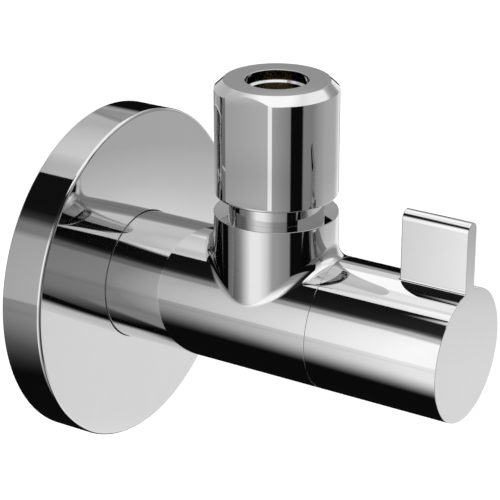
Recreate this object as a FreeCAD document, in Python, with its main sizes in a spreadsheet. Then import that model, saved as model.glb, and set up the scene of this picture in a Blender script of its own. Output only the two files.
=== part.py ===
"""Quarter-turn angle valve for a wash basin: wall escutcheon, turned body with an upright
compression outlet, ceramic-disc headpart and a round handle with a thumb lever.

The origin is where the inlet axis meets the wall. +Z is up, towards the outlet, and the valve
stands out from the wall towards -Y. The inlet thread points into the wall, along +Y.
"""

import FreeCAD, Part
import os
import re
import Sketcher

Vector = FreeCAD.Vector
PIECES = []
TOLERANCE = 0.001

# Driving dimensions in millimetres, or degrees where the name ends in angle.
DIMENSIONS = {
    # clearances between pieces, each on one side
    "running_clearance": 0.05,
    "seating_clearance": 0.02,
    "sliding_clearance": 0.1,
    # barrel and inlet
    "barrel_diameter": 23.0,
    "barrel_length": 48.6,
    "barrel_edge": 0.12,
    "inlet_thread_diameter": 20.955,
    "inlet_thread_length": 12.0,
    "inlet_thread_chamfer": 1.0,
    "inlet_bore_diameter": 13.0,
    "inlet_seal_thickness": 2.0,
    "inlet_seal_width": 2.3,
    # headpart chamber, bored from the barrel's front face
    "chamber_depth": 26.6,
    "chamber_diameter": 15.0,
    "seat_cone": 2.0,
    "headpart_thread_diameter": 16.66,
    "headpart_thread_length": 5.2,
    "seal_recess_room": 0.8,
    # branch and outlet spigot
    "branch_setback": 12.4,
    "branch_inset": 0.85,
    "branch_height": 18.05,
    "branch_root_radius": 2.2,
    "spigot_undercut": 0.131,
    "spigot_neck_length": 4.2,
    "spigot_thread_diameter": 16.662,
    "spigot_height": 34.4,
    "spigot_chamfer": 0.6,
    "outlet_bore_diameter": 8.0,
    # the supply tube that the outlet takes, and its socket
    "tube_diameter": 10.0,
    "socket_depth": 10.4,
    "mouth_flare": 1.5,
    "mouth_depth": 2.6,
    # union nut
    "nut_wall": 2.119,
    "nut_gap": 3.38,
    "nut_flat_depth": 1.0,
    "nut_lip": 0.4,
    "nut_edge": 0.25,
    "nut_chamfer_width": 1.525,
    "nut_chamfer_height": 1.45,
    "nut_hole_room": 0.35,
    "nut_web": 1.6,
    # compression ring
    "ring_bore_room": 0.03,
    "ring_insertion": 1.42,
    "ring_seat_gap": 0.18,
    "ring_shoulder": 0.8,
    "ring_lead_in": 0.8,
    "ring_length": 6.5,
    # wall escutcheon
    "escutcheon_diameter": 60.0,
    "escutcheon_depth": 8.0,
    "escutcheon_sheet": 0.8,
    "escutcheon_edge_radius": 0.55,
    "collar_bead_start": 1.9,
    "collar_bead_width": 2.0,
    "collar_ring_section": 1.5,
    "collar_tail": 0.5,
    # headpart
    "seal_protrusion": 0.9,
    "seat_seal_length": 3.3,
    "seat_seal_wall": 1.05,
    "support_ring_wall": 0.65,
    "support_ring_length": 2.6,
    "disc_diameter": 11.5,
    "fixed_disc_thickness": 2.4,
    "turning_disc_thickness": 3.0,
    "disc_window_inner": 3.2,
    "disc_rim": 1.15,
    "disc_window_angle": 80.0,
    "slip_washer_thickness": 0.5,
    "side_window_offset": 0.58,
    "side_window_length": 7.0,
    "side_window_width": 9.0,
    "headpart_neck_diameter": 14.4,
    "headpart_ring_section": 1.6,
    "collar_hex": 16.0,
    "collar_thickness": 3.0,
    "stop_cup_wall": 1.4,
    "stop_cup_bore": 13.2,
    "stop_cup_depth": 3.2,
    # spindle
    "spindle_diameter": 7.9,
    "spindle_end_gap": 1.5,
    "spindle_chamfer": 0.5,
    "foot_thickness": 1.8,
    "tongue_length": 7.78,
    "tongue_thickness": 2.9,
    "tongue_margin": 0.45,
    "tongue_depth": 1.1,
    "stem_groove_first": 2.0,
    "stem_groove_pitch": 3.2,
    "stem_groove_width": 1.5,
    "stem_groove_depth": 1.05,
    "circlip_thickness": 0.8,
    "circlip_diameter": 11.2,
    "circlip_groove_depth": 0.5,
    "circlip_gap_width": 4.0,
    "stop_ring_room": 0.3,
    "stop_ring_thickness": 1.6,
    "stop_tab_width": 3.0,
    "stop_tab_overlap": 1.0,
    "spline_count": 20,
    "spline_depth": 0.35,
    # handle
    "handle_gap": 0.15,
    "handle_length": 24.25,
    "handle_edge": 0.12,
    "handle_front_wall": 5.5,
    "hex_room": 0.46,
    "hub_gap": 1.2,
    "insert_wall": 1.53,
    "lever_length": 12.0,
    "lever_thickness": 3.1,
    "lever_rise": 11.9,
    "lever_top_radius": 1.5,
    "lever_root_radius": 0.4,
    "screw_setback": 5.5,
    "screw_diameter": 4.0,
    "screw_recess": 1.3,
    "screw_socket": 2.0,
    "screw_socket_depth": 2.0,
}

doc = FreeCAD.newDocument("AngleValve")
sizes = doc.addObject("Spreadsheet::Sheet", "Sizes")
for row, (alias, number) in enumerate(DIMENSIONS.items(), start=1):
    sizes.set(f"A{row}", alias.replace("_", " "))
    sizes.set(f"B{row}", str(number))
    sizes.setAlias(f"B{row}", alias)
doc.recompute()


def value(formula):
    """The number that a formula of sheet names gives now."""
    return float(sizes.evalExpression(formula))


def bound(formula):
    """The same formula as an expression for another object of the document."""
    return re.sub(r"\b([a-z]\w*)\b(?!\()", r"Sizes.\1", formula)


def bind(target, path, formula):
    target.setExpression(path, bound(formula))


# Distances along the valve axis, from the wall, that several pieces share.
SHOULDER = "inlet_seal_thickness + seating_clearance"
SEAT = "barrel_length - chamber_depth"
BRANCH = "barrel_length - branch_setback"
HEADPART_TIP = f"{SEAT} + seal_protrusion"
FIXED_DISC_BACK = f"{SEAT} + seat_seal_length + 2 * running_clearance"
TURNING_DISC_BACK = f"{FIXED_DISC_BACK} + fixed_disc_thickness + seating_clearance"
TURNING_DISC_FRONT = f"{TURNING_DISC_BACK} + turning_disc_thickness"
FOOT_BACK = f"{TURNING_DISC_FRONT} + tongue_length"
FOOT_FRONT = f"{FOOT_BACK} + foot_thickness"
HOUSING_SHOULDER = f"{FOOT_FRONT} + slip_washer_thickness + 2 * running_clearance"
THREAD_FRONT = "barrel_length - headpart_ring_section - seal_recess_room"
THREAD_BACK = f"{THREAD_FRONT} - headpart_thread_length"
COLLAR_FRONT = "barrel_length + collar_thickness"
CUP_FRONT = f"{COLLAR_FRONT} + stop_cup_depth"
CIRCLIP_BACK = f"{COLLAR_FRONT} + sliding_clearance"
CIRCLIP_FRONT = f"{CIRCLIP_BACK} + circlip_thickness"
STOP_RING_BACK = f"{CIRCLIP_FRONT} + 2 * sliding_clearance"
STOP_RING_FRONT = f"{STOP_RING_BACK} + stop_ring_thickness"
HANDLE_BACK = "barrel_length + handle_gap"
HANDLE_FRONT = f"{HANDLE_BACK} + handle_length"
HUB_BACK = f"{CUP_FRONT} + hub_gap"
HUB_FRONT = f"{HANDLE_FRONT} - handle_front_wall"
SPINDLE_END = f"{HUB_FRONT} - spindle_end_gap"
SCREW = f"{HUB_FRONT} - screw_setback"

# Heights along the branch axis, from the valve axis, that several pieces share.
NUT_BOTTOM = "branch_height + nut_gap"
RING_BOTTOM = "spigot_height - ring_insertion"
RING_TOP = f"{RING_BOTTOM} + ring_length"
WEB_BOTTOM = f"{RING_TOP} + sliding_clearance"
NUT_TOP = f"{WEB_BOTTOM} + nut_web"

# Radii that several pieces share.
BARREL_RADIUS = "barrel_diameter / 2"
BRANCH_RADIUS = "barrel_diameter / 2 - branch_inset"
DISC_RADIUS = "disc_diameter / 2"
STEM_RADIUS = "spindle_diameter / 2"
CUP_BORE_RADIUS = "stop_cup_bore / 2"
HEX_CORNER = "collar_hex / 2 / cos(30)"
NUT_BORE_RADIUS = "spigot_thread_diameter / 2 + running_clearance"
NUT_HOLE_RADIUS = "tube_diameter / 2 + nut_hole_room"
SOCKET_RADIUS = "tube_diameter / 2 + sliding_clearance"
INSERT_RADIUS = "spindle_diameter / 2 + seating_clearance + insert_wall"
STEM_BORE = "spindle_diameter + 2 * running_clearance"
STEM_SEAT = "spindle_diameter + 2 * seating_clearance"
STEM_GROOVE_DIAMETER = "spindle_diameter - 2 * stem_groove_depth"

# A piece's own X axis is its axis of rotation: out from the wall, or up the branch.
VALVE_TURN = FreeCAD.Rotation(Vector(0, -1, 0), Vector(0, 0, 1), Vector(-1, 0, 0), "XYZ")
BRANCH_TURN = FreeCAD.Rotation(Vector(0, 0, 1), Vector(1, 0, 0), Vector(0, 1, 0), "XYZ")
# A ring's own Z axis is its axis of rotation.
RING_TURN = FreeCAD.Rotation(Vector(0, 0, 1), Vector(-1, 0, 0), Vector(0, -1, 0), "XYZ")


def new_body(label, on_branch=False):
    """An empty body whose X axis lies along the valve or the branch."""
    body = doc.addObject("PartDesign::Body", label)
    body.Label = label
    body.Placement = FreeCAD.Placement(Vector(0, 0, 0), BRANCH_TURN if on_branch else VALVE_TURN)
    if on_branch:
        bind(body, "Placement.Base.y", f"-({BRANCH})")
    return body


def keep(piece):
    """Marks an object as a finished piece, written to a file of its own."""
    PIECES.append(piece)
    return piece


def new_sketch(body, name, plane="XY_Plane", distance=None):
    """A sketch on one of the body's planes, or at a distance in front of it."""
    sketch = body.newObject("Sketcher::SketchObject", name)
    base = [part for part in body.Origin.OriginFeatures if part.Role == plane][0]
    sketch.AttachmentSupport = [(base, "")]
    sketch.MapMode = "FlatFace"
    if distance:
        bind(sketch, "AttachmentOffset.Base.z", distance)
    return sketch


def pin_point(sketch, geometry, point, across, up):
    """Holds a point of a sketch at two formulas, measured from the sketch's origin."""
    for kind, formula in (("DistanceX", across), ("DistanceY", up)):
        rule = Sketcher.Constraint(kind, -1, 1, geometry, point, value(formula))
        index = sketch.addConstraint(rule)
        sketch.setExpression(f"Constraints[{index}]", bound(formula))


def draw_outline(sketch, corners):
    """A closed outline of straight lines through corners given as pairs of formulas."""
    first = sketch.GeometryCount
    count = len(corners)
    points = [Vector(value(across), value(up), 0) for across, up in corners]
    for i in range(count):
        sketch.addGeometry(Part.LineSegment(points[i], points[(i + 1) % count]), False)
    for i in range(count):
        following = first + (i + 1) % count
        sketch.addConstraint(Sketcher.Constraint("Coincident", first + i, 2, following, 1))
    for i, (across, up) in enumerate(corners):
        pin_point(sketch, first + i, 1, across, up)


def draw_box(sketch, left, right, low, high):
    draw_outline(sketch, [(left, low), (right, low), (right, high), (left, high)])


def draw_circle(sketch, across, up, diameter):
    centre = Vector(value(across), value(up), 0)
    radius = value(f"({diameter}) / 2")
    circle = sketch.addGeometry(Part.Circle(centre, Vector(0, 0, 1), radius), False)
    pin_point(sketch, circle, 3, across, up)
    index = sketch.addConstraint(Sketcher.Constraint("Diameter", circle, 2 * radius))
    sketch.setExpression(f"Constraints[{index}]", bound(diameter))


def turn_outline(body, name, corners, feature="PartDesign::Revolution", axis=None):
    """Turns an outline about the body's X axis, or about an upright line at axis."""
    sketch = new_sketch(body, f"{name}_outline")
    draw_outline(sketch, corners)
    line = "H_Axis"
    if axis:
        foot = Vector(value(axis), 0, 0)
        upright = sketch.addGeometry(Part.LineSegment(foot, foot + Vector(0, 1, 0)), True)
        pin_point(sketch, upright, 1, axis, "0")
        pin_point(sketch, upright, 2, axis, "1")
        line = "Axis0"
    turned = body.newObject(feature, name)
    turned.Profile = sketch
    turned.ReferenceAxis = (sketch, [line])
    turned.Angle = 360
    doc.recompute()
    return turned


def cut_out(body, name, sketch, length=None, reverse=False, both_ways=False):
    """Pockets a sketch to a length, or right through the body on both sides."""
    before = body.Shape.Volume
    pocket = body.newObject("PartDesign::Pocket", name)
    pocket.Profile = sketch
    if both_ways or not length:
        pocket.SideType = "Symmetric"
    if length:
        pocket.Type = "Length"
        bind(pocket, "Length", length)
        pocket.Reversed = reverse
    else:
        pocket.Type = "ThroughAll"
    doc.recompute()
    if not pocket.Shape.Volume < before:
        raise RuntimeError(f"{name} cuts nothing")
    return pocket


def add_plate(body, name, sketch, thickness):
    """Pads a sketch to a thickness, half on each side of its plane."""
    plate = body.newObject("PartDesign::Pad", name)
    plate.Profile = sketch
    plate.SideType = "Symmetric"
    bind(plate, "Length", thickness)
    doc.recompute()


def repeat(body, name, feature, sketch, axis, count):
    """Copies a cut round an axis of its sketch."""
    pattern = body.newObject("PartDesign::PolarPattern", name)
    pattern.Originals = [feature]
    pattern.Axis = (sketch, [axis])
    pattern.Angle = 360
    bind(pattern, "Occurrences", count)
    body.Tip = pattern
    doc.recompute()


def round_edges(body, name, radius, wanted):
    """Fillets the edges of the body's last feature that a test picks out."""
    tip = body.Tip
    names = [f"Edge{i}" for i, edge in enumerate(tip.Shape.Edges, start=1) if wanted(edge)]
    if not names:
        raise RuntimeError(f"{name} finds no edge")
    fillet = body.newObject("PartDesign::Fillet", name)
    fillet.Base = (tip, names)
    bind(fillet, "Radius", radius)
    doc.recompute()


def edge_points(edge):
    """Five points along an edge, in the body's own axes."""
    start, end = edge.ParameterRange
    return [edge.valueAt(start + (end - start) * step / 4) for step in range(5)]


def near(found, wanted):
    return abs(found - wanted) < TOLERANCE


def from_axis(point):
    return Vector(0, point.y, point.z).Length


def tube(label, back, front, inner, outer):
    """A plain tube between two distances, its inner and outer sizes given as diameters."""
    body = new_body(label)
    sketch_corners = [
        (back, f"({inner}) / 2"),
        (front, f"({inner}) / 2"),
        (front, f"({outer}) / 2"),
        (back, f"({outer}) / 2"),
    ]
    turn_outline(body, f"{label}_tube", sketch_corners)
    return body


def round_ring(label, distance, inner, outer):
    """A ring of round section that lies between an inner and an outer diameter."""
    ring = doc.addObject("Part::Torus", label)
    ring.Placement = FreeCAD.Placement(Vector(0, 0, 0), RING_TURN)
    bind(ring, "Placement.Base.y", f"-({distance})")
    bind(ring, "Radius1", f"(({inner}) + ({outer})) / 4")
    bind(ring, "Radius2", f"(({outer}) - ({inner})) / 4 - seating_clearance")
    doc.recompute()
    return keep(ring)


# The body is one brass casting: the barrel with its inlet thread, and the branch whose
# threaded spigot takes the supply tube.
def make_valve_body():
    body = new_body("valve_body")
    # The barrel is turned from its underside, which keeps its seam away from the branch.
    barrel = f"-{BARREL_RADIUS}"
    thread = "-inlet_thread_diameter / 2"
    neck = f"-({BARREL_RADIUS} - inlet_seal_width)"
    turn_outline(body, "barrel", [
        ("-inlet_thread_length", "0"),
        ("-inlet_thread_length", f"{thread} + inlet_thread_chamfer"),
        ("-inlet_thread_length + inlet_thread_chamfer", thread),
        ("0", thread),
        ("0", neck),
        (SHOULDER, neck),
        (SHOULDER, barrel),
        ("barrel_length - barrel_edge", barrel),
        ("barrel_length", f"{barrel} + barrel_edge"),
        ("barrel_length", "0"),
    ])

    branch = f"{BRANCH} + {BRANCH_RADIUS}"
    spigot = f"{BRANCH} + spigot_thread_diameter / 2"
    spigot_neck = f"{spigot} - spigot_undercut"
    neck_top = "branch_height + spigot_neck_length"
    turn_outline(body, "branch", [
        (BRANCH, "0"),
        (branch, "0"),
        (branch, "branch_height"),
        (spigot_neck, "branch_height"),
        (spigot_neck, neck_top),
        (spigot, f"{neck_top} + spigot_chamfer"),
        (spigot, "spigot_height - spigot_chamfer"),
        (f"{spigot} - spigot_chamfer", "spigot_height"),
        (BRANCH, "spigot_height"),
    ], axis=BRANCH)

    barrel_radius = value(BARREL_RADIUS)
    branch_radius = value(BRANCH_RADIUS)
    centre = value(BRANCH)

    def on_both(edge):
        return all(
            near(from_axis(point), barrel_radius)
            and near(Vector(point.x - centre, 0, point.z).Length, branch_radius)
            for point in edge_points(edge)
        )

    round_edges(body, "branch_root", "branch_root_radius", on_both)

    outlet_bore = f"{BRANCH} + outlet_bore_diameter / 2"
    socket = f"{BRANCH} + {SOCKET_RADIUS}"
    turn_outline(body, "outlet_bore", [
        (BRANCH, "0"),
        (outlet_bore, "0"),
        (outlet_bore, "spigot_height - socket_depth"),
        (socket, "spigot_height - socket_depth"),
        (socket, "spigot_height - mouth_depth"),
        (f"{socket} + mouth_flare", "spigot_height"),
        (BRANCH, "spigot_height"),
    ], feature="PartDesign::Groove", axis=BRANCH)

    inlet_bore = "inlet_bore_diameter / 2"
    chamber = "chamber_diameter / 2"
    female_thread = "headpart_thread_diameter / 2 + seating_clearance"
    recess = "headpart_neck_diameter / 2 + headpart_ring_section + sliding_clearance"
    turn_outline(body, "waterway", [
        ("-inlet_thread_length", "0"),
        ("-inlet_thread_length", inlet_bore),
        (f"{SEAT} - seat_cone", inlet_bore),
        (SEAT, f"{inlet_bore} - seat_cone"),
        (SEAT, chamber),
        (THREAD_BACK, chamber),
        (THREAD_BACK, female_thread),
        (THREAD_FRONT, female_thread),
        (THREAD_FRONT, recess),
        ("barrel_length", recess),
        ("barrel_length", "0"),
    ], feature="PartDesign::Groove")
    keep(body)


# A flat nylon ring on the neck behind the thread seals the barrel's shoulder on the fitting.
def make_inlet_seal():
    inner = f"2 * ({BARREL_RADIUS} - inlet_seal_width + seating_clearance)"
    keep(tube("inlet_seal_ring", "0", "inlet_seal_thickness", inner, "barrel_diameter"))


# The escutcheon is one drawn and polished brass sheet: a shallow cup whose centre is turned
# back into a collar, with a rolled bead that holds a rubber ring against the barrel.
def make_escutcheon():
    body = new_body("wall_escutcheon")
    sheet = "escutcheon_sheet"
    rim = "escutcheon_diameter / 2"
    face = "escutcheon_depth"
    back_of_face = f"{face} - {sheet}"
    collar = f"{BARREL_RADIUS} + sliding_clearance"
    bead = f"{BARREL_RADIUS} + collar_ring_section"
    bead_front = f"{face} - collar_bead_start"
    bead_back = f"{bead_front} - collar_bead_width"
    collar_back = f"{bead_back} - {sheet} - collar_tail"
    turn_outline(body, "drawn_sheet", [
        ("0", rim),
        (face, rim),
        (face, collar),
        (bead_front, collar),
        (bead_front, bead),
        (bead_back, bead),
        (bead_back, collar),
        (collar_back, collar),
        (collar_back, f"{collar} + {sheet}"),
        (f"{bead_back} - {sheet}", f"{collar} + {sheet}"),
        (f"{bead_back} - {sheet}", f"{bead} + {sheet}"),
        (f"{bead_front} + {sheet}", f"{bead} + {sheet}"),
        (f"{bead_front} + {sheet}", f"{collar} + {sheet}"),
        (back_of_face, f"{collar} + {sheet}"),
        (back_of_face, f"{rim} - {sheet}"),
        ("0", f"{rim} - {sheet}"),
    ])
    depth = value(face)
    radius = value(rim)

    def front_rim(edge):
        points = edge_points(edge)
        return all(near(p.x, depth) and near(from_axis(p), radius) for p in points)

    round_edges(body, "front_edge", "escutcheon_edge_radius", front_rim)
    keep(body)


def make_escutcheon_ring():
    middle = "escutcheon_depth - collar_bead_start - collar_bead_width / 2"
    outer = "barrel_diameter + 2 * collar_ring_section"
    round_ring("escutcheon_o_ring", middle, "barrel_diameter", outer)


# The union nut is turned brass with two milled flats, 19 mm across. Its inner cone presses the
# compression ring round the supply tube and into the spigot's mouth.
def make_union_nut():
    body = new_body("union_nut", on_branch=True)
    outer = f"{NUT_BORE_RADIUS} + nut_wall"
    turn_outline(body, "turned_nut", [
        (NUT_BOTTOM, NUT_BORE_RADIUS),
        (NUT_BOTTOM, f"{outer} - nut_edge"),
        (f"{NUT_BOTTOM} + nut_edge", outer),
        (f"{NUT_TOP} - nut_chamfer_height", outer),
        (NUT_TOP, f"{outer} - nut_chamfer_width"),
        (NUT_TOP, NUT_HOLE_RADIUS),
        (WEB_BOTTOM, NUT_HOLE_RADIUS),
        (f"{WEB_BOTTOM} - ({NUT_BORE_RADIUS} - ({NUT_HOLE_RADIUS}))", NUT_BORE_RADIUS),
    ])
    flats = new_sketch(body, "flats_outline")
    low = f"{NUT_BOTTOM} + nut_lip"
    high = f"{NUT_TOP} + nut_lip"
    flat = f"{outer} - nut_flat_depth"
    beyond = f"{outer} + nut_wall"
    draw_box(flats, low, high, flat, beyond)
    draw_box(flats, low, high, f"-({beyond})", f"-({flat})")
    cut_out(body, "flats", flats)
    keep(body)


def make_compression_ring():
    body = new_body("compression_ring", on_branch=True)
    bore = "tube_diameter / 2 + ring_bore_room"
    slope = "mouth_flare / mouth_depth"
    tip = f"{SOCKET_RADIUS} + mouth_flare - ring_insertion * {slope} - ring_seat_gap"
    outer = f"{tip} + ring_shoulder"
    top_land = f"{NUT_HOLE_RADIUS} + seating_clearance"
    turn_outline(body, "turned_ring", [
        (RING_BOTTOM, bore),
        (RING_BOTTOM, tip),
        (f"{RING_BOTTOM} + ring_shoulder / ({slope})", outer),
        (f"{RING_TOP} - ({outer} - ({top_land}))", outer),
        (RING_TOP, top_land),
        (f"{RING_TOP} - ring_lead_in", bore),
    ])
    keep(body)


# The headpart's housing screws into the barrel. Water comes through the ceramic discs at its
# tip and leaves by two side windows. The cup at its front limits the spindle to a quarter turn.
def make_headpart_housing():
    body = new_body("headpart_housing")
    bore = f"{DISC_RADIUS} + running_clearance"
    stem = f"({STEM_BORE}) / 2"
    outer = "chamber_diameter / 2 - sliding_clearance"
    thread = "headpart_thread_diameter / 2"
    neck = "headpart_neck_diameter / 2"
    cup = f"{CUP_BORE_RADIUS} + stop_cup_wall"
    thread_back = f"{THREAD_BACK} + sliding_clearance"
    turn_outline(body, "turned_housing", [
        (HEADPART_TIP, bore),
        (HEADPART_TIP, outer),
        (thread_back, outer),
        (thread_back, thread),
        (THREAD_FRONT, thread),
        (THREAD_FRONT, neck),
        ("barrel_length", neck),
        ("barrel_length", HEX_CORNER),
        (COLLAR_FRONT, HEX_CORNER),
        (COLLAR_FRONT, cup),
        (CUP_FRONT, cup),
        (CUP_FRONT, CUP_BORE_RADIUS),
        (COLLAR_FRONT, CUP_BORE_RADIUS),
        (COLLAR_FRONT, stem),
        (HOUSING_SHOULDER, stem),
        (HOUSING_SHOULDER, bore),
    ])

    hexagon = new_sketch(body, "hex_outline", "YZ_Plane", "barrel_length")
    flat = "collar_hex / 2"
    draw_circle(hexagon, "0", "0", "2 * collar_hex")
    draw_outline(hexagon, [
        (HEX_CORNER, "0"),
        (f"{HEX_CORNER} / 2", flat),
        (f"-{HEX_CORNER} / 2", flat),
        (f"-{HEX_CORNER}", "0"),
        (f"-{HEX_CORNER} / 2", f"-{flat}"),
        (f"{HEX_CORNER} / 2", f"-{flat}"),
    ])
    cut_out(body, "hex_flats", hexagon, "collar_thickness", reverse=True)

    windows = new_sketch(body, "window_outline", "XZ_Plane")
    start = f"{TURNING_DISC_FRONT} + side_window_offset"
    half_width = "side_window_width / 2"
    draw_box(windows, start, f"{start} + side_window_length", f"-{half_width}", half_width)
    cut_out(body, "side_windows", windows)

    # The open quarter of the cup, where the stop ring's tab swings from up to +X.
    quarter = new_sketch(body, "stop_outline", "YZ_Plane", COLLAR_FRONT)
    side = "stop_tab_width / 2 + running_clearance"
    beyond = f"{cup} + stop_cup_wall"
    draw_box(quarter, f"-({side})", beyond, f"-({beyond})", side)
    cut_out(body, "stop_window", quarter, "2 * stop_cup_depth", reverse=True)
    keep(body)


def make_headpart_ring():
    middle = "barrel_length - headpart_ring_section / 2 - 2 * running_clearance"
    inner = "headpart_neck_diameter"
    outer = f"{inner} + 2 * headpart_ring_section"
    round_ring("headpart_o_ring", middle, inner, outer)


def make_seat_seal():
    back = f"{SEAT} + running_clearance"
    front = f"{back} + seat_seal_length"
    bore = "disc_diameter - 2 * seat_seal_wall"
    support = f"{bore} - 2 * seating_clearance"
    support_back = f"{front} - support_ring_length"
    support_bore = f"{support} - 2 * support_ring_wall"
    keep(tube("seat_seal", back, front, bore, "disc_diameter"))
    keep(tube("seal_support_ring", support_back, front, support_bore, support))


# Each ceramic disc has two opposite windows. The turning disc has a slot for the spindle.
def make_disc(label, back, thickness):
    body = new_body(label)
    front = f"{back} + {thickness}"
    window_outer = f"{DISC_RADIUS} - disc_rim"
    turn_outline(body, f"{label}_blank", [
        (back, "0"),
        (front, "0"),
        (front, DISC_RADIUS),
        (back, DISC_RADIUS),
    ])
    window = turn_outline(body, f"{label}_window", [
        (back, "disc_window_inner / 2"),
        (front, "disc_window_inner / 2"),
        (front, window_outer),
        (back, window_outer),
    ], feature="PartDesign::Groove")
    window.Midplane = True
    bind(window, "Angle", "disc_window_angle")
    repeat(body, f"{label}_windows", window, window.Profile[0], "H_Axis", "2")
    return keep(body)


def make_discs():
    make_disc("fixed_ceramic_disc", FIXED_DISC_BACK, "fixed_disc_thickness")
    turning = make_disc("turning_ceramic_disc", TURNING_DISC_BACK, "turning_disc_thickness")
    slot = new_sketch(turning, "slot_outline")
    half = "tongue_thickness / 2 + running_clearance"
    floor = f"{TURNING_DISC_FRONT} - tongue_depth"
    draw_box(slot, floor, f"{TURNING_DISC_FRONT} + tongue_depth", f"-({half})", half)
    cut_out(turning, "tongue_slot", slot)


# The spindle is turned brass: a tongue that turns the disc, a foot that keeps it in the
# housing, two grooves for rubber rings, a groove for the circlip and a splined end.
def stem_groove(index):
    start = f"{HOUSING_SHOULDER} + stem_groove_first"
    return f"{start} + {index} * stem_groove_pitch"


def make_spindle():
    body = new_body("spindle")
    grooves = []
    for index in range(2):
        start = stem_groove(index)
        end = f"{start} + stem_groove_width"
        floor = f"({STEM_GROOVE_DIAMETER}) / 2"
        grooves += [(start, STEM_RADIUS), (start, floor), (end, floor), (end, STEM_RADIUS)]
    clip_start = f"{CIRCLIP_BACK} - seating_clearance"
    clip_end = f"{CIRCLIP_FRONT} + seating_clearance"
    clip_floor = f"{STEM_RADIUS} - circlip_groove_depth"
    turn_outline(body, "turned_spindle", [
        (FOOT_BACK, "0"),
        (FOOT_BACK, DISC_RADIUS),
        (FOOT_FRONT, DISC_RADIUS),
        (FOOT_FRONT, STEM_RADIUS),
        *grooves,
        (clip_start, STEM_RADIUS),
        (clip_start, clip_floor),
        (clip_end, clip_floor),
        (clip_end, STEM_RADIUS),
        (f"{SPINDLE_END} - spindle_chamfer", STEM_RADIUS),
        (SPINDLE_END, f"{STEM_RADIUS} - spindle_chamfer"),
        (SPINDLE_END, "0"),
    ])

    tongue = new_sketch(body, "tongue_outline", "XZ_Plane")
    tip = f"{TURNING_DISC_FRONT} - tongue_depth + running_clearance"
    half_width = f"{DISC_RADIUS} - tongue_margin"
    draw_box(tongue, tip, f"{FOOT_BACK} + foot_thickness / 2", f"-({half_width})", half_width)
    add_plate(body, "tongue", tongue, "tongue_thickness")

    notch = new_sketch(body, "spline_outline", "YZ_Plane", SPINDLE_END)
    beyond = f"{STEM_RADIUS} + spline_depth"
    draw_outline(notch, [
        (f"{STEM_RADIUS} - spline_depth", "0"),
        (beyond, "2 * spline_depth"),
        (beyond, "-2 * spline_depth"),
    ])
    groove = cut_out(body, "spline_groove", notch, f"{SPINDLE_END} - ({HUB_BACK})")
    repeat(body, "splines", groove, notch, "N_Axis", "spline_count")
    keep(body)


def make_spindle_rings():
    for index, name in enumerate(("inner", "outer")):
        middle = f"{stem_groove(index)} + stem_groove_width / 2"
        round_ring(f"spindle_o_ring_{name}", middle, STEM_GROOVE_DIAMETER, STEM_BORE)


def make_slip_washer():
    back = f"{FOOT_FRONT} + running_clearance"
    front = f"{back} + slip_washer_thickness"
    keep(tube("slip_washer", back, front, STEM_BORE, "disc_diameter"))


# The circlip is a stamped spring-steel ring with one gap, sprung into the spindle's groove.
def make_circlip():
    inner = "spindle_diameter - 2 * circlip_groove_depth + 2 * seating_clearance"
    body = tube("spindle_circlip", CIRCLIP_BACK, CIRCLIP_FRONT, inner, "circlip_diameter")
    gap = new_sketch(body, "gap_outline")
    back = f"{CIRCLIP_BACK} - circlip_thickness"
    front = f"{CIRCLIP_FRONT} + circlip_thickness"
    draw_box(gap, back, front, "-circlip_diameter", "0")
    cut_out(body, "gap", gap, "circlip_gap_width", both_ways=True)
    keep(body)


# The stop ring sits on the spindle behind the handle. Its tab strikes the cup's two ends.
def make_stop_ring():
    outer = f"2 * ({CUP_BORE_RADIUS} - stop_ring_room)"
    body = tube("stop_ring", STOP_RING_BACK, STOP_RING_FRONT, STEM_SEAT, outer)
    tab = new_sketch(body, "tab_outline")
    middle_of_wall = f"(({STEM_SEAT}) + {outer}) / 4"
    reach = f"{CUP_BORE_RADIUS} + stop_tab_overlap"
    draw_box(tab, STOP_RING_BACK, STOP_RING_FRONT, middle_of_wall, reach)
    add_plate(body, "tab", tab, "stop_tab_width")
    keep(body)


# The handle is one chromed die casting with a thumb lever, hollow at the back where it turns
# round the headpart's collar.
def screw_hole(body, name):
    hole = new_sketch(body, f"{name}_outline", "XZ_Plane")
    draw_circle(hole, SCREW, "0", "screw_diameter + 2 * seating_clearance")
    cut_out(body, name, hole, "barrel_diameter", reverse=True)


def make_handle():
    body = new_body("handle")
    recess = f"{HEX_CORNER} + hex_room"
    turn_outline(body, "turned_handle", [
        (HANDLE_BACK, recess),
        (HANDLE_BACK, f"{BARREL_RADIUS} - handle_edge"),
        (f"{HANDLE_BACK} + handle_edge", BARREL_RADIUS),
        (HANDLE_FRONT, BARREL_RADIUS),
        (HANDLE_FRONT, "0"),
        (HUB_FRONT, "0"),
        (HUB_FRONT, INSERT_RADIUS),
        (HUB_BACK, INSERT_RADIUS),
        (HUB_BACK, recess),
    ])

    plate = new_sketch(body, "lever_outline")
    buried = f"{BARREL_RADIUS} - lever_thickness / 2"
    lever_top = f"{BARREL_RADIUS} + lever_rise"
    draw_box(plate, f"{HANDLE_FRONT} - lever_length", HANDLE_FRONT, buried, lever_top)
    add_plate(body, "lever", plate, "lever_thickness")

    top = value(lever_top)
    front = value(HANDLE_FRONT)
    radius = value(BARREL_RADIUS)
    half = value("lever_thickness / 2")

    def long_top(edge):
        points = edge_points(edge)
        return all(near(p.y, top) for p in points) and near(points[0].z, points[-1].z)

    def root(edge):
        points = edge_points(edge)
        on_handle = all(near(from_axis(p), radius) for p in points)
        on_lever = all(p.y > 0 and abs(p.z) < half + TOLERANCE for p in points)
        return on_handle and on_lever and min(p.x for p in points) < front - TOLERANCE

    half_round = "min(lever_top_radius; lever_thickness / 2 - running_clearance)"
    round_edges(body, "lever_top", half_round, long_top)
    round_edges(body, "lever_root", "lever_root_radius", root)
    screw_hole(body, "screw_hole")
    keep(body)


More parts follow.
